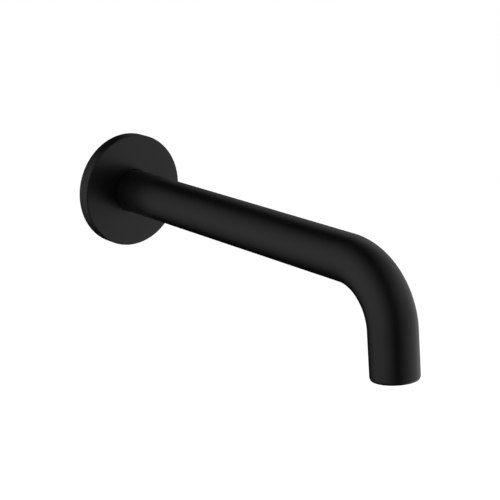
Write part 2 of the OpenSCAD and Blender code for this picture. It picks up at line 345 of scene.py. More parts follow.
# Puts the rows of a thread, cut outwards (1) or inwards (-1), before the outline's last corner.
# way: -1 where the outline runs back towards the wall
def threadedPiece(name, outline, finish, shape, thread, side, way=1, sharpAt=50):
    step = thread["Pitch"] / shape["rowsPerTurn"]
    count = math.ceil((thread["Thread To"] - thread["Thread From"]) / step) + shape["rowsPerTurn"]
    first = thread["Thread From"] - thread["Pitch"]
    rows = [(Vector((first + step * i, shape["crest"])), 0.0, side) for i in range(count + 1)]
    points = outline[:-1] + rows[::way] + outline[-1:]
    return sweptPiece(name, points, finish, shape["around"], sharpAt, thread)


def blendTones(tree, factor, first, second, how="MIX"):
    feeds = {0: factor, 6: first, 7: second}
    return place(tree, "ShaderNodeMix", feeds, data_type="RGBA", blend_type=how)[2]


# Turns a value from low to high into 0 to 1
def between(tree, value, low, high):
    return place(tree, "ShaderNodeMapRange", {"Value": value, "From Min": low, "From Max": high})["Result"]


# And 0 to 1 into a value from low to high
def spread(tree, value, low, high):
    return place(tree, "ShaderNodeMapRange", {"Value": value, "To Min": low, "To Max": high})["Result"]


# Effects that several finishes share: where each begins and is full, on the noise or cells behind it
effects = {
    "speck": (0.62, 0.78),
    "patch": (0.3, 0.7),
    "cellWall": (0.16, 0.03),
    "cellRise": (0.4, 0.02),
    "wideMarks": 0.12,  # the scale of the broad rings beside the fine ones
    "markContrast": 2.0,
}


def noise(tree, vector, scale, detail, **more):
    feeds = {"Vector": vector, "Scale": scale, "Detail": detail, **more}
    return place(tree, "ShaderNodeTexNoise", feeds)["Fac"]


def grainGroup():
    tree, calc, entry, leave = newTree(
        "fineGrain",
        [("Vector", "Vector", None), ("Grain Size", "Float", 0.5 * mm), ("Roughness", "Float", 0.5)],
        [("Height", "Float"), ("Speck", "Float")],
    )
    scale = calc("DIVIDE", 1, entry["Grain Size"])
    grain = noise(tree, entry["Vector"], scale, detail=3, Roughness=entry["Roughness"])
    return endTree(tree, leave, {"Height": grain, "Speck": between(tree, grain, *effects["speck"])})


def driftGroup():
    tree, calc, entry, leave = newTree(
        "toneDrift",
        [
            ("Vector", "Vector", None),
            ("Patch Size", "Float", 30 * mm),
            ("Light Tone", "Color", (1, 1, 1, 1)),
            ("Dark Tone", "Color", (0, 0, 0, 1)),
        ],
        [("Color", "Color"), ("Mask", "Float")],
    )
    patches = noise(tree, entry["Vector"], calc("DIVIDE", 1, entry["Patch Size"]), detail=4)
    mask = between(tree, patches, *effects["patch"])
    drifting = blendTones(tree, mask, entry["Dark Tone"], entry["Light Tone"])
    return endTree(tree, leave, {"Color": drifting, "Mask": mask})


# Fine rings that a turning tool leaves, from a piece's own section coordinates
def turnedGroup():
    tree, calc, entry, leave = newTree(
        "turnedMarks",
        [("Section", "Vector", None), ("Spacing", "Float", 0.15 * mm)],
        [("Height", "Float"), ("Mask", "Float")],
    )
    scale = calc("DIVIDE", 1, entry["Spacing"])
    fine = noise(tree, entry["Section"], scale, detail=2)
    wide = noise(tree, entry["Section"], calc("MULTIPLY", scale, effects["wideMarks"]), detail=1)
    mask = calc("MULTIPLY", fine, calc("MULTIPLY", wide, effects["markContrast"]))
    return endTree(tree, leave, {"Height": fine, "Mask": mask})


# Cells of a cut foam: pits with thin lighter walls between them
def cellGroup():
    tree, calc, entry, leave = newTree(
        "foamCells",
        [("Vector", "Vector", None), ("Cell Size", "Float", 0.5 * mm)],
        [("Height", "Float"), ("Wall", "Float")],
    )
    feeds = {"Vector": entry["Vector"], "Scale": calc("DIVIDE", 1, entry["Cell Size"])}
    cells = place(tree, "ShaderNodeTexVoronoi", feeds, feature="DISTANCE_TO_EDGE")["Distance"]
    rise, wall = (between(tree, cells, *effects[part]) for part in ("cellRise", "cellWall"))
    return endTree(tree, leave, {"Height": rise, "Wall": wall})


turnedMarks = turnedGroup()
foamCells = cellGroup()
fineGrain = grainGroup()
toneDrift = driftGroup()


def driftOver(tree, where, look):
    feeds = {"Patch Size": look["patch"], "Light Tone": look["light"], "Dark Tone": look["dark"]}
    return place(tree, "ShaderNodeGroup", {"Vector": where, **feeds}, node_tree=toneDrift)


def grainOver(tree, where, look):
    feeds = {"Vector": where, "Grain Size": look["grain"]}
    return place(tree, "ShaderNodeGroup", feeds, node_tree=fineGrain)


def grainGloss(tree, grain, drift, look):
    low = spread(tree, drift["Mask"], *look["gloss"])
    return mathNode(tree, "MULTIPLY_ADD", grain["Speck"], look["speckGloss"], low)


# Feeds a finish's shader; 0.5 is its own specular level
def dress(tree, shader, look, tone, rough, height):
    bump = {"Strength": look["bump"], "Distance": look["bumpDeep"], "Height": height}
    feed(tree, shader["Base Color"], tone)
    feed(tree, shader["Roughness"], rough)
    feed(tree, shader["Specular IOR Level"], look.get("specular", 0.5))
    feed(tree, shader["Normal"], place(tree, "ShaderNodeBump", bump)[0])


# A value that the mesh carries
def carried(tree, name, output):
    return place(tree, "ShaderNodeAttribute", attribute_name=name)[output]


# Gives the material, its tree, the shader's inputs and the object's own coordinates
def newFinish(name):
    finish = bpy.data.materials.new(name)
    finish.use_nodes = True
    tree = finish.node_tree
    shader = next(n for n in tree.nodes if n.type == "BSDF_PRINCIPLED")
    where = place(tree, "ShaderNodeTexCoord")["Object"]
    return finish, tree, shader.inputs, where


# Matte black coat on brass: an even, very fine grain, a little lighter where it is thin on the edges
paintLook = {
    "light": (0.0121, 0.0121, 0.0124, 1),
    "dark": (0.0097, 0.0097, 0.0099, 1),
    "edge": (0.018, 0.018, 0.0183, 1),
    "edgeShare": (0.3, 0.8),  # of the edge tone, as the patches go
    "patch": 38 * mm,
    "grain": 0.35 * mm,
    "gloss": (0.295, 0.335),  # roughness, low and high
    "speckGloss": 0.04,
    "specular": 0.28,
    "bump": 0.06,
    "bumpDeep": 0.05 * mm,
    "bare": (0.34, 0.20, 0.08, 1),
    "bareDepth": 0.6 * mm,  # deeper than this below the tube's outside lies its bore
    "coatInside": (3 * mm, 1.5 * mm),  # how far the coat reaches up the bore, on a ragged line
}


def mattePaint():
    look = paintLook
    finish, tree, shader, where = newFinish("matteBlackCoat")
    calc = partial(mathNode, tree)
    drift = driftOver(tree, where, look)
    grain = grainOver(tree, where, look)
    thin = calc("MULTIPLY", carried(tree, "worn", "Fac"), spread(tree, drift["Mask"], *look["edgeShare"]))
    coated = blendTones(tree, thin, drift["Color"], look["edge"])
    far = separate(tree, carried(tree, "section", "Vector"))
    inside = calc("LESS_THAN", far["Y"], tubeRadius - look["bareDepth"])
    ragged = spread(tree, grain["Height"], *(mouthAt - deep for deep in look["coatInside"]))
    bare = calc("MULTIPLY", inside, calc("LESS_THAN", far["X"], ragged))
    feed(tree, shader["Metallic"], bare)
    coated = blendTones(tree, bare, coated, look["bare"])
    dress(tree, shader, look, coated, grainGloss(tree, grain, drift, look), grain["Height"])
    return finish


matteBlackCoat = mattePaint()

# Turned brass: warm yellow with tool rings, duller and browner in patches
brassLook = {
    "light": (0.62, 0.40, 0.16, 1),
    "dark": (0.36, 0.21, 0.075, 1),
    "patch": 6 * mm,
    "spacing": 0.22 * mm,
    "ringTone": 0.5,  # how far a ring may go to the dark tone
    "gloss": (0.24, 0.4),
    "bump": 0.25,
    "bumpDeep": 0.02 * mm,
    "coatGloss": 0.42,  # roughness where the black coat ran over it
    "coatRagged": 0.08 * mm,
}


# coatFrom: distance along the line and radius past which the piece took the black coat
def turnedBrass(name, coatFrom=None):
    look = brassLook
    finish, tree, shader, where = newFinish(name)
    calc = partial(mathNode, tree)
    section = carried(tree, "section", "Vector")
    feeds = {"Section": section, "Spacing": look["spacing"]}
    marks = place(tree, "ShaderNodeGroup", feeds, node_tree=turnedMarks)
    drift = driftOver(tree, where, look)
    ringed = spread(tree, marks["Mask"], 0.0, look["ringTone"])
    shaded = blendTones(tree, ringed, drift["Color"], look["dark"])
    rough = spread(tree, marks["Mask"], *look["gloss"])
    if coatFrom:
        far = separate(tree, section)
        edge = calc("MULTIPLY", drift["Mask"], look["coatRagged"])
        before = calc("LESS_THAN", calc("ADD", far["X"], edge), coatFrom[0])
        inside = calc("LESS_THAN", calc("ADD", far["Y"], edge), coatFrom[1])
        bare = calc("MAXIMUM", before, inside)
        shaded = blendTones(tree, bare, paintLook["dark"], shaded)
        coatGloss = calc("MULTIPLY_ADD", bare, -look["coatGloss"], look["coatGloss"])
        rough = calc("MAXIMUM", rough, coatGloss)
        feed(tree, shader["Metallic"], bare)
    else:
        shader["Metallic"].default_value = 1
    dress(tree, shader, look, shaded, rough, marks["Height"])
    return finish


# Moulded finishes: rubber with a dusty bloom, and the aerator's plastics with a fine mould texture
mouldTexture = {
    "gloss": (0.36, 0.48),
    "bump": 0.08,
    "bumpDeep": 0.03 * mm,
    "speckGloss": 0.06,
    "speckTone": 0.4,  # how far a speck may go to the light tone
}
mouldedLooks = {
    "blackRubber": {
        "light": (0.022, 0.022, 0.023, 1), "dark": (0.009, 0.009, 0.0095, 1), "patch": 3 * mm,
        "grain": 0.12 * mm, "gloss": (0.55, 0.72), "bump": 0.15, "specular": 0.4,
    },
    "housingPlastic": {
        "light": (0.048, 0.048, 0.049, 1), "dark": (0.034, 0.034, 0.035, 1), "patch": 5 * mm,
        "grain": 0.2 * mm, "gloss": (0.42, 0.55), "bump": 0.10,
    },
    "gridPlastic": {
        "light": (0.29, 0.295, 0.30, 1), "dark": (0.22, 0.225, 0.23, 1), "patch": 4 * mm,
        "grain": 0.15 * mm,
    },
    "insertPlastic": {
        "light": (0.60, 0.60, 0.56, 1), "dark": (0.50, 0.50, 0.46, 1), "patch": 5 * mm,
        "grain": 0.15 * mm,
    },
    "filterPlastic": {
        "light": (0.50, 0.52, 0.54, 1), "dark": (0.42, 0.44, 0.46, 1), "patch": 4 * mm,
        "grain": 0.12 * mm, "gloss": (0.34, 0.46),
    },
}


def moulded(name):
    look = {**mouldTexture, **mouldedLooks[name]}
    finish, tree, shader, where = newFinish(name)
    drift = driftOver(tree, where, look)
    grain = grainOver(tree, where, look)
    bloom = spread(tree, grain["Speck"], 0.0, look["speckTone"])
    shaded = blendTones(tree, bloom, drift["Color"], look["light"])
    dress(tree, shader, look, shaded, grainGloss(tree, grain, drift, look), grain["Height"])
    return finish


# Closed-cell foam, dark grey, its cut cells showing, their pits painted darker as painted shade in the
# hollows; light and dark here tint the cells' own tones
foamLook = {
    "wall": (0.085, 0.085, 0.088, 1),
    "pitShade": (0.022, 0.022, 0.023, 1),
    "light": (1.15, 1.15, 1.15, 1),
    "dark": (0.8, 0.8, 0.8, 1),
    "patch": 9 * mm,
    "cell": 0.5 * mm,
    "gloss": (0.78, 0.92),
    "specular": 0.25,
    "bump": 0.6,
    "bumpDeep": 0.25 * mm,
}


def cutFoam():
    look = foamLook
    finish, tree, shader, where = newFinish("cutFoam")
    feeds = {"Vector": where, "Cell Size": look["cell"]}
    cells = place(tree, "ShaderNodeGroup", feeds, node_tree=foamCells)
    # the pit tone is painted shade, darkening each cell's hollow; the wall tone is the foam's own grey
    cellToneAndShade = blendTones(tree, cells["Wall"], look["pitShade"], look["wall"])
    tint = driftOver(tree, where, look)["Color"]
    shaded = blendTones(tree, 1, cellToneAndShade, tint, "MULTIPLY")
    dress(tree, shader, look, shaded, spread(tree, cells["Wall"], *look["gloss"]), cells["Height"])
    return finish


# Brazing alloy: pale, fine-grained, with darker flux stains
brazeLook = {
    "light": (0.62, 0.50, 0.34, 1),
    "dark": (0.22, 0.15, 0.09, 1),
    "patch": 2.5 * mm,
    "grain": 0.15 * mm,
    "gloss": (0.6, 0.35),  # in the stains, and clear of them
    "bump": 0.3,
    "bumpDeep": 0.03 * mm,
}


def brazed():
    look = brazeLook
    finish, tree, shader, where = newFinish("brazeMetal")
    drift = driftOver(tree, where, look)
    rough = spread(tree, drift["Mask"], *look["gloss"])
    shader["Metallic"].default_value = 1
    dress(tree, shader, look, drift["Color"], rough, grainOver(tree, where, look)["Height"])
    return finish


coatedRingEnd = (mouthAt - 0.9 * mm, 9.3 * mm)  # the outlet ring's low end was coated with the tube
brazeMetal = brazed()
brass = turnedBrass("turnedBrass")
ringBrass = turnedBrass("ringBrass", coatedRingEnd)
foam = cutFoam()
plastics = {name: moulded(name) for name in mouldedLooks}
print("finishes ready:", len(bpy.data.materials), "materials")


# The tube, with a rounded lip at its mouth
tubeShape = {
    "lipLength": 1.2 * mm,  # the mouth's outer edge is drawn in a little
    "lipDepth": 0.45 * mm,
    "lipRound": 0.4 * mm,
    "lipEdge": 0.15 * mm,
    "lipInside": 0.2 * mm,
    "wallEndBreak": 0.15 * mm,
    "runStep": 9 * mm,  # between rings on the straight
    "bendStep": math.radians(2),
    "around": 128,
}


def buildTube():
    shape = tubeShape
    corners = [
        (0, tubeBore, shape["wallEndBreak"]),
        (0, tubeRadius, shape["wallEndBreak"]),
        (mouthAt - shape["lipLength"], tubeRadius, shape["lipRound"]),
        (mouthAt, tubeRadius - shape["lipDepth"], shape["lipEdge"]),
        (mouthAt, tubeBore, shape["lipInside"]),
    ]
    runRings = round(runLength / shape["runStep"])
    bendRings = round(spoutLine["bendAngle"] / shape["bendStep"])
    stations = [runLength * i / runRings for i in range(1, runRings)]
    stations += [runLength + bendLength * i / bendRings for i in range(bendRings + 1)]
    points = withStations(roundedOutline(corners), stations)
    return sweptPiece("spoutTube", points, matteBlackCoat, shape["around"])


tube = buildTube()
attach(tube, "root")
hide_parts("spout_tube", "outlet_bend")
print("tube built:", len(tube.data.polygons), "faces")


# The turned cover plate, hollow behind, with a hub that holds the seal
plateShape = {
    "height": 7.5 * mm,
    "bore": tubeRadius + 0.15 * mm,
    "face": 2.4 * mm,
    "rim": 2.6 * mm,
    "frontEdge": 0.8 * mm,
    "hollowCorner": 0.8 * mm,
    "grooveDeep": 2.06 * mm,
    "grooveFrom": 2.75 * mm,
    "grooveTo": 5.15 * mm,
    "hubWall": 2 * mm,
    "hubBack": 0.4 * mm,
    "edgeBreak": 0.2 * mm,
    "around": 192,
    "sharpAt": 30,
}


def buildPlate():
    shape = plateShape
    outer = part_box("cover_plate")[1].z
    inner = outer - shape["rim"]
    groove = tubeRadius + shape["grooveDeep"]
    hub = groove + shape["hubWall"]
    floor = shape["height"] - shape["face"]
    fine = shape["edgeBreak"]
    corners = [
        (0, inner, fine),
        (0, outer, fine),
        (shape["height"], outer, shape["frontEdge"]),
        (shape["height"], shape["bore"], fine),
        (shape["grooveTo"], shape["bore"], fine),
        (shape["grooveTo"], groove, 0),
        (shape["grooveFrom"], groove, 0),
        (shape["grooveFrom"], shape["bore"], fine),
        (shape["hubBack"], shape["bore"], fine),
        (shape["hubBack"], hub, fine),
        (floor, hub, shape["hollowCorner"]),
        (floor, inner, shape["hollowCorner"]),
    ]
    outline = roundedOutline(corners)
    return sweptPiece("coverPlate", outline, matteBlackCoat, shape["around"], shape["sharpAt"])


plate = buildPlate()
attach(plate, "root")
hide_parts("cover_plate")
print("plate built:", len(plate.data.polygons), "faces")


# The connector brazed into the wall end, with its G1/2 thread cut in the round
connectorShape = {
    "outer": tubeBore - 0.05 * mm,
    "length": 22 * mm,
    "chamfer": 0.6 * mm,
    "seat": 16 * mm,
    "throat": 6.5155 * mm,
    "crest": 9.3155 * mm,
    "relief": 10.5775 * mm,
    "backEdge": 0.12 * mm,
    "seatEdge": 0.1 * mm,
    "rowsPerTurn": 16,
    "around": 96,
    "thread": {
        "Pitch": 1.814 * mm,
        "Thread Depth": 1.162 * mm,
        "Thread From": 0.0,
        "Thread To": 13.262 * mm,
        "Start Depth": 1.162 * mm,
        "Start Length": 0.45 * mm,
        "End Depth": 1.262 * mm,  # down to the relief's depth
        "End Length": 1.262 * mm,
    },
}


def buildConnector():
    shape, thread = connectorShape, connectorShape["thread"]
    end, cut = shape["length"], shape["chamfer"]
    corners = [
        (0, shape["outer"], shape["backEdge"]),
        (end - cut, shape["outer"], 0),
        (end, shape["outer"] - cut, 0),
        (end, shape["throat"] + cut, 0),
        (end - cut, shape["throat"], 0),
        (shape["seat"], shape["throat"], shape["seatEdge"]),
        (shape["seat"], shape["relief"], 0),
        (thread["Thread To"], shape["relief"], 0),
        (0, shape["crest"] + thread["Start Depth"], 0),
    ]
    return threadedPiece("inletConnector", roundedOutline(corners), brass, shape, thread, 1, -1)


connector = buildConnector()
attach(connector, "root")
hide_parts("inlet_connector")
print("connector built:", len(connector.data.polygons), "faces")


# The fine thread of the ring and the aerator's cup
fineThread = {"Pitch": 1 * mm, "Thread Depth": 0.5 * mm}


# Its ends, by their heights above the mouth, with a 45 degree cone at each
def legThread(low, high, startDepth, endDepth):
    ends = {"Thread From": mouthAt - high, "Thread To": mouthAt - low}
    start = {"Start Depth": startDepth, "Start Length": startDepth}
    return {**fineThread, **ends, **start, "End Depth": endDepth, "End Length": endDepth}


# Corners given by height above the mouth, radius and rounding
def upTheLeg(corners):
    return roundedOutline([(mouthAt - up, radius, rounding) for up, radius, rounding in corners])


# The ring brazed into the mouth: fine thread below, stop shoulder and funnel above.
# Heights are measured from the mouth up the leg.
ringShape = {
    "outer": tubeBore - 0.05 * mm,
    "low": 0.6 * mm,
    "mouth": 9.375 * mm,
    "crest": 8.725 * mm,
    "bore": 8.975 * mm,
    "threadTop": 12.4 * mm,
    "shoulderLow": 14.88 * mm,
    "shoulder": 6.975 * mm,
    "shoulderTop": 16.48 * mm,
    "top": 18.88 * mm,
    "edge": 0.5 * mm,
    "edgeBreak": 0.1 * mm,
    "rowsPerTurn": 10,
    "around": 96,
}


def buildRing():
    shape = ringShape
    fine = shape["edgeBreak"]
    depths = [shape[end] - shape["crest"] for end in ("bore", "mouth")]
    thread = legThread(shape["low"], shape["threadTop"], *depths)
    outline = upTheLeg([
        (shape["low"], shape["outer"], fine),
        (shape["top"], shape["outer"], 0),
        (shape["top"], shape["outer"] - shape["edge"], 0),
        (shape["shoulderTop"], shape["shoulder"], fine),
        (shape["shoulderLow"], shape["shoulder"], fine),
        (shape["shoulderLow"], shape["bore"], 0),
        (shape["threadTop"], shape["bore"], 0),
        (shape["low"], shape["mouth"], 0),
    ])
    return threadedPiece("outletRing", outline, ringBrass, shape, thread, 1)


ring = buildRing()
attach(ring, "root")
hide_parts("outlet_ring")
print("outlet ring built:", len(ring.data.polygons), "faces")


mouthCentre = Vector((
    0,
    -spoutLine["reach"],
    -spoutLine["bendRadius"] * (1 - math.cos(spoutLine["bendAngle"]))
    - spoutLine["leg"] * math.sin(spoutLine["bendAngle"]),
))


# Carries cutters from the origin to the mouth and takes them out of the body
def cutAtMouth(tree, cutters, entry, leave, solver):
    cutters = transformed(tree, cutters, Translation=entry["Mouth"], Rotation=entry["Lean"])
    feeds = {"Mesh 1": entry["Body"], "Mesh 2": cutters}
    cut = place(tree, "GeometryNodeMeshBoolean", feeds, operation="DIFFERENCE", solver=solver)["Mesh"]
    return endGeometryTree(tree, cut, entry, leave)


# Puts a cutter on each point and makes them one mesh
def cutterOn(tree, points, cutter, turn=(0, 0, 0)):
    feeds = {"Points": points, "Instance": cutter, "Rotation": turn}
    copies = place(tree, "GeometryNodeInstanceOnPoints", feeds)[0]
    return place(tree, "GeometryNodeRealizeInstances", {"Geometry": copies})[0]


# Cuts a ring of equal notches round the mouth's axis
def notchTree():
    tree, calc, entry, leave = geometryTree("notchesRound", [
        ("Body", "Geometry", None),
        ("Count", "Int", 16),
        ("Size", "Vector", (1.5 * mm, 1.1 * mm, 1.9 * mm)),
        ("Radius", "Float", 7 * mm),
        ("Height", "Float", 1 * mm),
        ("Mouth", "Vector", None),
        ("Lean", "Vector", None),
    ])
    feeds = {"Vertices": entry["Count"], "Radius": entry["Radius"]}
    circle = place(tree, "GeometryNodeMeshCircle", feeds)[0]
    cutter = place(tree, "GeometryNodeMeshCube", {"Size": entry["Size"]})["Mesh"]
    index = place(tree, "GeometryNodeInputIndex")[0]
    turn = calc("MULTIPLY", calc("DIVIDE", index, entry["Count"]), math.tau)
    cutters = cutterOn(tree, circle, cutter, combine(tree, 0.0, 0.0, turn))
    cutters = transformed(tree, cutters, Translation=combine(tree, 0.0, 0.0, entry["Height"]))
    return cutAtMouth(tree, cutters, entry, leave, "FLOAT")


notchesRound = notchTree()


# Runs a cutting tree on a piece at the mouth
def cutRound(piece, tree, sizes, finish, sharpAt=50):
    cutting = piece.modifiers.new("cutting", "NODES")
    cutting.node_group = tree
    lean = (spoutLine["bendAngle"] - math.pi / 2, 0, 0)
    setInputs(cutting, {**sizes, "Mouth": mouthCentre, "Lean": lean, "Finish": finish})
    plainMesh(piece, sharpAt)
    return piece


# The aerator's cup: threaded outside, an inward lip with key notches at its mouth
housingShape = {
    "low": 1.4 * mm,
    "lipTop": 2.8 * mm,
    "top": 13.32 * mm,
    "outer": 8.875 * mm,
    "crest": 9.125 * mm,
    "root": 8.625 * mm,
    "foot": 8.475 * mm,
    "bore": 7.575 * mm,
    "lip": 7.025 * mm,
    "lipEdge": 0.12 * mm,
    "chamfer": 0.4 * mm,
    "threadTop": 12.4 * mm,
    "rowsPerTurn": 10,
    "around": 96,
    "notches": {
        "Count": 16,
        "Size": (1.55 * mm, 1.1 * mm, 1.9 * mm),
        "Radius": 6.8 * mm,
        "Height": 1.35 * mm,
    },
}


def buildHousing():
    shape, finish = housingShape, plastics["housingPlastic"]
    cutAtTop = shape["crest"] - shape["root"]
    thread = legThread(shape["low"], shape["threadTop"], cutAtTop, shape["crest"] - shape["foot"])
    outline = upTheLeg([
        (shape["low"], shape["lip"], shape["lipEdge"]),
        (shape["lipTop"], shape["lip"], 0),
        (shape["lipTop"], shape["bore"], 0),
        (shape["top"], shape["bore"], 0),
        (shape["top"], shape["outer"] - shape["chamfer"], 0),
        (shape["top"] - shape["chamfer"], shape["outer"], 0),
        (shape["threadTop"] + cutAtTop / 2, shape["outer"], 0),
        (shape["threadTop"], shape["root"], 0),
        (shape["low"], shape["foot"], 0),
    ])
    piece = threadedPiece("aeratorHousing", outline, finish, shape, thread, -1)
    return cutRound(piece, notchesRound, shape["notches"], finish)


housing = buildHousing()
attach(housing, "root")
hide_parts("aerator_housing")
print("aerator housing built:", len(housing.data.polygons), "faces")


# Cuts six-sided cells through a disc at the mouth, as many as lie whole inside the reach
def cellTree():
    tree, calc, entry, leave = geometryTree("cellsThrough", [
        ("Body", "Geometry", None),
        ("Rows", "Int", 9),
        ("Cell Width", "Float", 1.45 * mm),
        ("Cell Wall", "Float", 0.3 * mm),
        ("Reach", "Float", 6.9 * mm),
        ("Edge Break", "Float", 0.08 * mm),
        ("Low", "Float", 1.43 * mm),
        ("High", "Float", 4.63 * mm),
        ("Past", "Float", 0.05 * mm),
        ("Mouth", "Vector", None),
        ("Lean", "Vector", None),
    ])
    pitch = calc("ADD", entry["Cell Width"], entry["Cell Wall"])
    feeds = {"Vertices X": entry["Rows"], "Vertices Y": entry["Rows"]}
    grid = place(tree, "GeometryNodeMeshGrid", feeds)["Mesh"]
    middle = calc("MULTIPLY", calc("SUBTRACT", entry["Rows"], 1), 0.5)
    row, column = (calc("SUBTRACT", at, middle) for at in rowAndColumn(tree, calc, entry["Rows"]))
    shifted = calc("MULTIPLY", calc("FLOORED_MODULO", row, 2), 0.5)
    x = calc("MULTIPLY", calc("ADD", column, shifted), pitch)
    y = calc("MULTIPLY", calc("MULTIPLY", row, math.sqrt(3) / 2), pitch)
    spots = moved(tree, grid, combine(tree, x, y, 0.0))
    away = place(tree, "ShaderNodeVectorMath", {0: position(tree)}, operation="LENGTH")["Value"]
    corner = calc("DIVIDE", entry["Cell Width"], math.sqrt(3))
    limit = calc("SUBTRACT", entry["Reach"], calc("ADD", corner, entry["Cell Wall"]))
    feeds = {"Geometry": spots, "Selection": calc("GREATER_THAN", away, limit)}
    spots = place(tree, "GeometryNodeDeleteGeometry", feeds, domain="POINT")[0]

    # One cutter: three six-sided rings at -1, 0 and 1, the lowest one wider, to break the cell's edge
    feeds = {"Vertices": 6, "Side Segments": 2, "Radius": corner, "Depth": 2.0}
    cutter = place(tree, "GeometryNodeMeshCylinder", feeds)["Mesh"]
    point = separate(tree, position(tree))
    below = calc("MULTIPLY", calc("MINIMUM", point["Z"], 0), -1)
    above = calc("MAXIMUM", point["Z"], 0)
    flare = calc("ADD", entry["Edge Break"], entry["Past"])
    tall = calc("SUBTRACT", calc("SUBTRACT", entry["High"], entry["Low"]), entry["Edge Break"])
    z = calc("MULTIPLY_ADD", above, calc("ADD", tall, entry["Past"]), entry["Edge Break"])
    z = calc("SUBTRACT", z, calc("MULTIPLY", below, flare))
    z = calc("ADD", z, entry["Low"])
    wider = calc("DIVIDE", flare, calc("MULTIPLY", entry["Cell Width"], 0.5))
    wider = calc("MULTIPLY_ADD", below, wider, 1)
    x, y = (calc("MULTIPLY", point[axis], wider) for axis in "XY")
    cutter = moved(tree, cutter, combine(tree, x, y, z))
    cutter = transformed(tree, cutter, Rotation=(0, 0, math.pi / 6))  # its flats across the row
    cutters = cutterOn(tree, spots, cutter)
    cutters = transformed(tree, cutters, Rotation=(0, 0, math.pi / 2))  # the rows across the spout
    return cutAtMouth(tree, cutters, entry, leave, "EXACT")


cellsThrough = cellTree()

# The stream former: honeycomb disc, flange on the cup's lip, and a skirt with air windows
formerShape = {
    "low": 1.43 * mm,
    "high": 4.63 * mm,
    "core": 6.905 * mm,
    "flangeLow": 2.83 * mm,
    "outer": 7.545 * mm,
    "skirt": 6.845 * mm,
    "top": 8.23 * mm,
    "edge": 0.15 * mm,
    "around": 96,
    "cells": {
        "Rows": 9,
        "Cell Width": 1.45 * mm,
        "Cell Wall": 0.3 * mm,
        "Edge Break": 0.08 * mm,
        "Past": 0.05 * mm,  # how far the cutters stand past the disc
    },
    "windows": {
        "Count": 8,
        "Size": (1.7 * mm, 2.4 * mm, 2.2 * mm),
        "Radius": 7.195 * mm,
        "Height": 6.23 * mm,
    },
    "sharpAt": 30,
}


def buildFormer():
    shape, finish = formerShape, plastics["gridPlastic"]
    outline = upTheLeg([
        (shape["low"], 0, 0),
        (shape["low"], shape["core"], shape["edge"]),
        (shape["flangeLow"], shape["core"], 0),
        (shape["flangeLow"], shape["outer"], shape["edge"]),
        (shape["top"], shape["outer"], shape["edge"]),
        (shape["top"], shape["skirt"], shape["edge"]),
        (shape["high"], shape["skirt"], 0),
        (shape["high"], 0, 0),
    ])
    piece = sweptPiece("streamFormer", outline, finish, shape["around"])
    cutRound(piece, notchesRound, shape["windows"], finish)
    cells = {**shape["cells"], "Reach": shape["core"], "Low": shape["low"], "High": shape["high"]}
    return cutRound(piece, cellsThrough, cells, finish, shape["sharpAt"])


former = buildFormer()
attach(former, "root")
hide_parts("outlet_grid")
print("stream former built:", len(former.data.polygons), "faces")


def flatSection(low, high, inner, outer, edge):
    return roundedOutline([(low, inner, edge), (low, outer, edge), (high, outer, edge), (high, inner, edge)])


# The brazing metal between the tube and the two pieces in its ends
brazeShape = {
    "inner": tubeBore - 0.055 * mm,
    "outer": tubeBore + 0.005 * mm,
    "around": 128,
    "pieces": {
        "inletBraze": (0.22 * mm, 21.3 * mm),
        "outletBraze": (mouthAt - 18.7 * mm, mouthAt - 0.8 * mm),
    },
}
for name, (low, high) in brazeShape["pieces"].items():
    outline = flatSection(low, high, brazeShape["inner"], brazeShape["outer"], 0)
    braze = sweptPiece(name, outline, brazeMetal, brazeShape["around"])
    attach(braze, "root")
print("brazing metal laid:", len(brazeShape["pieces"]))


def roundSection(middle, radius, half, corners=28):
    turns = [math.tau * i / corners for i in range(corners)]
    return [(Vector((middle + half * math.cos(t), radius + half * math.sin(t))), 0.0) for t in turns]


# The seals, each made from its own section
sealFinish = {"rubber": plastics["blackRubber"], "foam": foam}
sealPieces = {
    "plateSeal": {
        "node": "plate_seal", "slot": "rubber", "around": 144,
        "points": roundSection(3.95 * mm, 13.53 * mm, 1.04 * mm),  # pressed on the tube
    },
    "wallGasket": {
        "node": "wall_gasket", "slot": "foam", "around": 160,
        "points": flatSection(0, 5.07 * mm, 17.56 * mm, 29.4 * mm, 0.35 * mm),
    },
    "inletWasher": {
        "node": "inlet_washer", "slot": "rubber", "around": 96,
        "points": flatSection(13.97 * mm, 15.97 * mm, 5.8155 * mm, 9.2155 * mm, 0.25 * mm),
    },
    "aeratorWasher": {
        "node": "aerator_washer", "slot": "rubber", "around": 96,
        "points": flatSection(mouthAt - 14.85 * mm, mouthAt - 13.35 * mm, 6.745 * mm, 8.845 * mm, 0.2 * mm),
    },
    "regulatorRing": {
        "node": "regulator_ring", "slot": "rubber", "around": 72,
        "points": roundSection(mouthAt - 11.65 * mm, 5.215 * mm, 0.75 * mm),
    },
}
for name, spec in sealPieces.items():
    seal = sweptPiece(name, spec["points"], sealFinish[spec["slot"]], spec["around"])
    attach(seal, "root")
    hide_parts(spec["node"])
print("seals built:", len(sealPieces))


# Solids that stay as the CAD made them
keptSolids = {
    "jet_disc": "insertPlastic",
    "regulator_body": "insertPlastic",
    "filter_screen": "filterPlastic",
}
for node, look in keptSolids.items():
    for materialSlot in bpy.data.objects[node].material_slots:
        materialSlot.material = plastics[look]
print("aerator dressed:", len(keptSolids), "solids")

# Camera at the photograph's viewpoint
view = {
    "azimuth": math.radians(-39.675),
    "elevation": math.radians(16.106),
    "distance": 820.944 * mm,
    "aside": 73.393 * mm,  # how far the camera stands off the part's origin, along the picture's width
    "above": -36.737 * mm,  # and along its height
    "focal": 1382.274,  # in pixels of the 500-pixel frame
    "frame": 500,
}


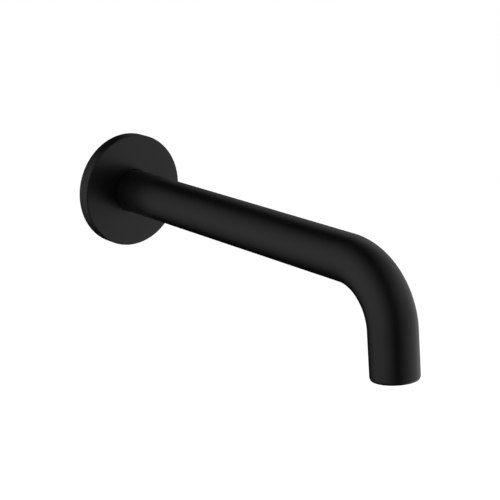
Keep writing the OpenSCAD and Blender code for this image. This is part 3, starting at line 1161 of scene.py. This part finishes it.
def addCamera():
    a, e = view["azimuth"], view["elevation"]
    back = Vector((math.sin(a) * math.cos(e), -math.cos(a) * math.cos(e), math.sin(e)))
    right = Vector((math.cos(a), math.sin(a), 0))
    up = back.cross(right)
    lens = bpy.data.cameras.new("photoCamera")
    lens.sensor_width = 36  # millimetres, as lens.lens is
    lens.lens = view["focal"] / view["frame"] * lens.sensor_width
    lens.clip_start = 10 * mm
    camera = addObject("photoCamera", lens)
    spot = right * view["aside"] + up * view["above"] + back * view["distance"]
    camera.matrix_world = Matrix.Translation(spot) @ Matrix((right, up, back)).transposed().to_4x4()
    bpy.context.scene.camera = camera


addCamera()

# Studio: white all round, a soft light on each side, and a black tent that only reflections see.
# Headings turn from +x towards +y, heights up from level, both in degrees as seen from the aim.
studio = {
    "aim": Vector((0, -0.12, -0.02)),
    "lights": {
        "left": {"towards": 165, "height": 10, "away": 1.3, "size": (1.9, 1.9), "level": 0.65},
        "right": {"towards": 345, "height": 8, "away": 1.3, "size": (2.2, 1.9), "level": 0.7},
    },
    "tent": {
        "away": 0.85,
        "step": 4,
        "feather": 56,  # how gently an opening's edge fades
        "openings": {
            "left": {"heading": (122, 216.4), "height": (-35, 52)},
            "right": {"heading": (274, 372), "height": (-57, 58)},
            "rightOfWall": {"heading": (360, 400.5), "height": (13.4, 58)},
        },
    },
    "ambient": 0.02,
    "floorDrop": 0.9,
    "floorHalf": 6.0,
    "shadowShare": 0.15,
    "shadowReach": (0.4, 1.4),
    "floorTone": (0.8, 0.8, 0.8, 1),
}
white, black = (1, 1, 1, 1), (0, 0, 0, 1)


def wayTo(heading, height):
    turn, lift = math.radians(heading), math.radians(height)
    return Vector((math.cos(turn) * math.cos(lift), math.sin(turn) * math.cos(lift), math.sin(lift)))


# The emptied node tree of a material or world
def bareTree(owner):
    owner.use_nodes = True
    owner.node_tree.nodes.clear()
    return owner.node_tree


def mixed(tree, factor, first, second):
    return place(tree, "ShaderNodeMixShader", {0: factor, 1: first, 2: second})[0]


def addSoftLight(name, spec):
    way = wayTo(spec["towards"], spec["height"])
    light = bpy.data.lights.new(name + "SoftLight", "AREA")
    light.shape = "RECTANGLE"
    light.size, light.size_y = spec["size"]
    light.energy = spec["level"] * math.pi * light.size * light.size_y
    lamp = addObject(light.name, light)
    facing = way.to_track_quat("Z", "Y").to_matrix().to_4x4()
    lamp.matrix_world = Matrix.Translation(studio["aim"] + way * spec["away"]) @ facing
    lamp.visible_glossy = False  # reflections see the white surround there


def ramp(value, low, high):
    feather = studio["tent"]["feather"]
    past = (high - low) / 2 - abs(value - (low + high) / 2)
    return min(1, max(0, past / feather + 0.5))


def openness(heading, height):
    most = 0
    for opening in studio["tent"]["openings"].values():
        upAndDown = ramp(height, *opening["height"])
        allRound = max(ramp(heading + turn, *opening["heading"]) for turn in (-360, 0, 360))
        most = max(most, upAndDown * allRound)
    return most


def addTent():
    tent = studio["tent"]
    wide, high = 360 // tent["step"], 180 // tent["step"]
    places = [(c * tent["step"], -90 + r * tent["step"]) for r in range(high + 1) for c in range(wide)]
    faces = []
    for r in range(high):
        for c in range(wide):
            low, following = r * wide, (c + 1) % wide
            faces.append((low + c, low + following, low + wide + following, low + wide + c))
    mesh = bpy.data.meshes.new("blackTent")
    mesh.from_pydata([studio["aim"] + wayTo(h, e) * tent["away"] for h, e in places], [], faces)
    solid = mesh.attributes.new("solid", "FLOAT", "POINT")
    solid.data.foreach_set("value", [1 - openness(h, e) for h, e in places])
    shell = addObject("blackTent", mesh)
    mesh.materials.append(tentCloth())
    for ray in ("camera", "diffuse", "transmission", "volume_scatter", "shadow"):
        setattr(shell, "visible_" + ray, False)


def tentCloth():
    finish = bpy.data.materials.new("tentCloth")
    tree = bareTree(finish)
    matt = place(tree, "ShaderNodeBsdfDiffuse", {"Color": black})[0]
    clear = place(tree, "ShaderNodeBsdfTransparent")[0]
    cloth = mixed(tree, carried(tree, "solid", "Fac"), clear, matt)
    place(tree, "ShaderNodeOutputMaterial", {"Surface": cloth})
    return finish


def addSurround():
    world = bpy.data.worlds.new("surround")
    bpy.context.scene.world = world
    tree = bareTree(world)
    bright, dim = (
        place(tree, "ShaderNodeBackground", {"Color": white, "Strength": level})[0]
        for level in (1, studio["ambient"])
    )
    place(tree, "ShaderNodeOutputWorld", {"Surface": mixed(tree, seenWhite(tree), dim, bright)})


# 1 for the rays that see the background as white: the camera's, reflections and what shines through
def seenWhite(tree):
    ray = place(tree, "ShaderNodeLightPath")
    bounced = mathNode(tree, "MAXIMUM", ray["Is Glossy Ray"], ray["Is Transmission Ray"])
    return mathNode(tree, "MAXIMUM", ray["Is Camera Ray"], bounced)


# White to the camera where the light reaches it, and clear from below
def addFloor():
    half = studio["floorHalf"]
    low = studio["aim"].z - studio["floorDrop"]
    mesh = bpy.data.meshes.new("floor")
    corners = [(-half, -half, low), (half, -half, low), (half, half, low), (-half, half, low)]
    mesh.from_pydata(corners, [], [(0, 1, 2, 3)])
    floor = addObject("floor", mesh)
    finish = bpy.data.materials.new("paleFloor")
    tree = bareTree(finish)
    matt = place(tree, "ShaderNodeBsdfDiffuse", {"Color": studio["floorTone"]})[0]
    # Near the object the lamps make up the rest of the white, so that its shadow stays
    point = place(tree, "ShaderNodeTexCoord")["Object"]
    feeds = {"Location": (0, -studio["aim"].y, -low), "Vector": point}
    centred = place(tree, "ShaderNodeMapping", feeds)[0]
    away = place(tree, "ShaderNodeVectorMath", {0: centred}, operation="LENGTH")["Value"]
    level = spread(tree, between(tree, away, *studio["shadowReach"]), 1 - studio["shadowShare"], 1)
    strength = mathNode(tree, "MULTIPLY", seenWhite(tree), level)
    glow = place(tree, "ShaderNodeEmission", {"Color": white, "Strength": strength})[0]
    lit = place(tree, "ShaderNodeAddShader", {0: matt, 1: glow})[0]
    clear = place(tree, "ShaderNodeBsdfTransparent")[0]
    behind = place(tree, "ShaderNodeNewGeometry")["Backfacing"]
    place(tree, "ShaderNodeOutputMaterial", {"Surface": mixed(tree, behind, lit, clear)})
    mesh.materials.append(finish)


bpy.context.scene.view_settings.view_transform = "Standard"
addFloor()
for name, spec in studio["lights"].items():
    addSoftLight(name, spec)
addTent()
addSurround()
print("studio ready")
